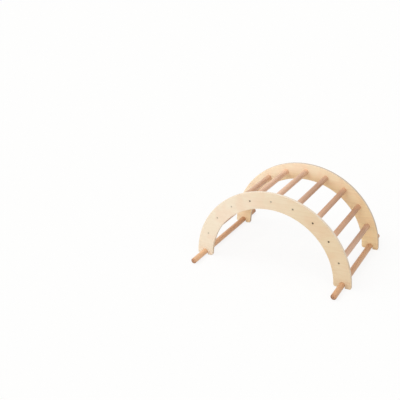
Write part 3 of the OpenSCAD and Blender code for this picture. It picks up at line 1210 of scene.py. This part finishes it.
# Tone, drift and bend, which are partly painted shade, painted light at the ends, red and soaked
ROD_LOOKS = {
    "rung_1": (0.0, 0.08, 0.1, 0.3, 0.4, 0.4),
    "rung_2": (0.13, 0.04, -0.1, 0.3, 0.4, 0.4),
    "rung_3": (-0.13, 0.08, 0.2, 0.3, 0.4, 0.4),
    "rung_4": (-0.34, 0.16, 0.38, 0.67, 0.3, 0.4),
    "rung_5": (-0.24, 0.36, -0.26, 0.14, 0.4, 0.4),
    "rung_6": (0.18, 0.22, -0.26, 0.24, 0.6, 0.4),
    "rung_7": (0.17, 0.21, -0.1, 0.37, 0.9, 0.4),
    "rung_8": (0.12, 0.32, 0.13, 0.51, 1.0, 0.4),
    "rung_9": (-0.03, 0.29, -0.08, 0.2, 0.0, 0.4),
    "left_floor_bar": (-0.14, 0.62, -0.02, 0.0, 0.0, 0.75),
    "right_floor_bar": (-0.09, 0.01, 0.03, 0.0, 0.0, 1.0),
}
chance = np.random.default_rng(LOG_SEED)


def mark_timber(piece, node, tone, drift_and_shade, bend_and_shade, end_light, red, soaked):
    """Stores where in the log each point grew, how far it is from the rod's axis, and the rod's tone.

    The tone is tone + drift * s + bend * s^2, where s runs from -1 to 1 along the rod: partly the
    timber's own change along its length, and partly painted shade, darker towards the rear panel and
    behind it. A last term takes the tone down towards both ends: painted light, thrown onto the rod by
    the pale panels. Red says how red the board was. Soaked says how dark the oil has turned the rim of
    the cut ends. The rim is palest towards a point a little up and to the right of the axis.
    """
    points = positions(piece.data)
    x, z = rod_axis(node)
    turn = chance.uniform(0, 2 * math.pi)
    from_pith = chance.uniform(NEAREST_PITH, FARTHEST_PITH)
    up_trunk = chance.uniform(0, TRUNK_LENGTH)
    across = (points[:, 0] - x) * math.cos(turn) - (points[:, 2] - z) * math.sin(turn)
    deep = (points[:, 0] - x) * math.sin(turn) + (points[:, 2] - z) * math.cos(turn)
    store(piece.data, "timber", np.stack([across + from_pith, deep, points[:, 1] + up_trunk], axis=-1))
    store(piece.data, "from_axis", np.hypot(across, deep))
    store(piece.data, "from_pale_point", np.hypot(points[:, 0] - x - RIM_PALE_POINT[0], points[:, 2] - z - RIM_PALE_POINT[1]))
    along = points[:, 1] / points[:, 1].max()
    near_end = step(np.abs(along), END_LIGHT_FROM, 1)
    # Painted shade in the drift and the bend, darker towards the rear; painted light near both ends
    store(piece.data, "tone", tone + drift_and_shade * along + bend_and_shade * along**2 - end_light * near_end)
    store(piece.data, "red", np.full(len(points), red))
    store(piece.data, "soaked", np.full(len(points), soaked))


for node in RUNGS:
    rung = make_piece(node + "_beech", rung_patch(node), rung_beech, node)
    mark_timber(rung, node, *ROD_LOOKS[node])
for node in BARS:
    bar = make_piece(node + "_beech", bar_patches(node), bar_beech, node)
    mark_timber(bar, node, *ROD_LOOKS[node])

# %% [markdown]
# ## Drive the screws
#
# No two screws stop at the same turn, so each gets its own twist. A rung's two screws face out of the
# two panels. A floor bar's two screws are driven up from below.

# %% Screws
# Paler skin of the front screws, rung 1 to 9: wear, and painted sheen, most on the three at the left
FRONT_WEAR_AND_SHEEN = (0.85, 0.88, 0.82, 0.24, 0.62, 0.34, 0.0, 0.0, 0.26)
REAR_WEAR = (0.1, 0.3, 0.05, 0.2, 0.4, 0.1, 0.3, 0.0, 0.2)
BAR_WEAR = 0.15


def screw_pair(node, tilts, places, front_wear_and_sheen, rear_wear):
    """Two screws of one joint as one piece. Wear is how pale the skin is: rubbed off, and on the front
    screws of the rungs also painted sheen.
    """
    patches = []
    for tilt, place in zip(tilts, places):
        patches.append((placed_screw(chance.uniform(0, math.pi / 3), tilt, place), True))
    pair = make_piece(node.replace("_screws", "_screw_pair"), patches, dark_steel, node)
    in_front = positions(pair.data)[:, 1] < 0
    # Wear, and on the front screws of the rungs painted sheen
    store(pair.data, "wear_and_sheen", np.where(in_front, front_wear_and_sheen, rear_wear))


for node, front_wear_and_sheen, rear_wear in zip(RUNGS, FRONT_WEAR_AND_SHEEN, REAR_WEAR):
    x, z = rod_axis(node)
    places = ((x, -HEAD_TOP, z), (x, HEAD_TOP, z))
    screw_pair(node + "_screws", (math.pi / 2, -math.pi / 2), places, front_wear_and_sheen, rear_wear)
for node in BARS:
    x, z = rod_axis(node)
    places = [(x, side * PANEL_MIDDLE, BAR_HEAD_TOP) for side in (-1, 1)]
    screw_pair(node.replace("floor_bar", "bar_screws"), (math.pi, math.pi), places, BAR_WEAR, BAR_WEAR)

# %% [markdown]
# ## The studio
#
# The arch stands on a plain white floor under soft light: a broad lamp high on the left, a weaker one
# low in front, a weaker one still on the right, and an even glow from all round. Lamps of the Sun kind
# are as bright far away as near by, so the floor stays even, and a wide angle makes their shadows soft.
# The floor and the world look white to the camera and in reflections, through the Light Path node, so
# the picture's background is white without more light on the wood.

# %% Floor and world
FLOOR_HALF = 40.0
FLOOR_DROP = 0.2 * MM
FLOOR_WHITENESS = 0.85
FLOOR_COLOUR = paint(240, 240, 238)
FLOOR_ROUGHNESS = 0.9
FLOOR_GLOSS = 0.1
GLOW = 0.68
GLOW_COLOUR = (1.0, 0.97, 0.92, 1.0)
WHITE = (1.0, 1.0, 1.0, 1.0)


def seen_directly(tree):
    """1 for rays from the camera, off a mirror or through glass, and 0 for light that only bounces."""
    path = put(tree, "LightPath").outputs
    gloss = maths(tree, "MAXIMUM", path["Is Glossy Ray"], path["Is Transmission Ray"])
    return maths(tree, "MAXIMUM", path["Is Camera Ray"], gloss)


def make_floor():
    """A square sheet whose material is a matt white that the camera sees lifted towards white."""
    material, tree, shader = start_material("floor_white")
    inputs = {"Base Color": FLOOR_COLOUR, "Roughness": FLOOR_ROUGHNESS}
    set_inputs(tree, shader, inputs | {"Specular IOR Level": FLOOR_GLOSS})
    lifted = times(tree, seen_directly(tree), FLOOR_WHITENESS)
    glow = put(tree, "Emission", {"Color": WHITE, "Strength": 1.0}).outputs[0]
    seen = put(tree, "MixShader", {0: lifted, 1: shader.outputs[0], 2: glow}).outputs[0]
    clear = put(tree, "BsdfTransparent").outputs[0]
    behind = put(tree, "NewGeometry").outputs["Backfacing"]
    sheet = put(tree, "MixShader", {0: behind, 1: seen, 2: clear}).outputs[0]
    tree.links.new(sheet, tree.nodes["Material Output"].inputs["Surface"])
    across = np.array([[-1, -1], [1, -1], [1, 1], [-1, 1]]) * FLOOR_HALF
    points = np.column_stack([across, np.full(4, -FLOOR_DROP)])
    mesh = bpy.data.meshes.new("studio_floor")
    mesh.from_pydata(points.tolist(), [], [(0, 1, 2, 3)])
    mesh.materials.append(material)
    floor = add_object("studio_floor", mesh)


def make_world():
    """An even glow for the wood, and plain white for the camera."""
    world = bpy.data.worlds.new("studio")
    bpy.context.scene.world = world
    world.use_nodes = True
    tree = world.node_tree
    tree.nodes.clear()
    glow = put(tree, "Background", {"Color": GLOW_COLOUR, "Strength": GLOW}).outputs[0]
    white = put(tree, "Background", {"Color": WHITE, "Strength": 1.0}).outputs[0]
    both = put(tree, "MixShader", {0: seen_directly(tree), 1: glow, 2: white}).outputs[0]
    put(tree, "OutputWorld", {"Surface": both})


make_floor()
make_world()

# %% Lamps
LAMP_COLOUR = (0.98, 1.0, 1.02)
LAMP_SOFTNESS = 45


def turned(degrees, axis):
    """A rotation about the X, Y or Z axis."""
    return Matrix.Rotation(math.radians(degrees), 4, axis)


def add_sun(name, azimuth, elevation, strength):
    """A sun lamp that shines from a compass direction and height. Azimuth 0 is in front, 90 is right."""
    data = bpy.data.lights.new(name, "SUN")
    data.energy = strength
    data.angle = math.radians(LAMP_SOFTNESS)
    data.color = LAMP_COLOUR
    lamp = add_object(name, data)
    lamp.matrix_world = turned(azimuth, "Z") @ turned(90 - elevation, "X")


add_sun("key_lamp", azimuth=-68, elevation=58, strength=1.16)
add_sun("side_lamp", azimuth=45, elevation=38, strength=0.28)
add_sun("fill_lamp", azimuth=-10, elevation=15, strength=0.55)
print("The studio is lit.")

# %% [markdown]
# ## The camera
#
# The camera stands to the right of the arch and a little above it, as in the photograph. Its place and
# angles come from fitting the frame's outline to the photograph, which is 400 pixels wide.

# %% Camera
PHOTO_PIXELS = 400
FOCAL_PIXELS = 630.6
SENSOR = 36.0
CAMERA_PLACE = (1.1707, -2.8641, 1.6405)
CAMERA_AZIMUTH = 31.038
CAMERA_ELEVATION = 23.376
CAMERA_ROLL = -1.822
FARTHEST_SEEN = 200.0


def make_camera():
    """A camera turned by roll, then tilted down by its elevation, then swung round to its azimuth."""
    data = bpy.data.cameras.new("photo_camera")
    data.sensor_width = SENSOR
    data.lens = FOCAL_PIXELS / PHOTO_PIXELS * SENSOR
    data.clip_end = FARTHEST_SEEN
    camera = add_object("photo_camera", data)
    swing_and_tilt = turned(CAMERA_AZIMUTH, "Z") @ turned(90 - CAMERA_ELEVATION, "X")
    camera.matrix_world = Matrix.Translation(CAMERA_PLACE) @ swing_and_tilt @ turned(CAMERA_ROLL, "Z")
    bpy.context.scene.camera = camera


make_camera()
bpy.context.scene.view_settings.view_transform = "Standard"
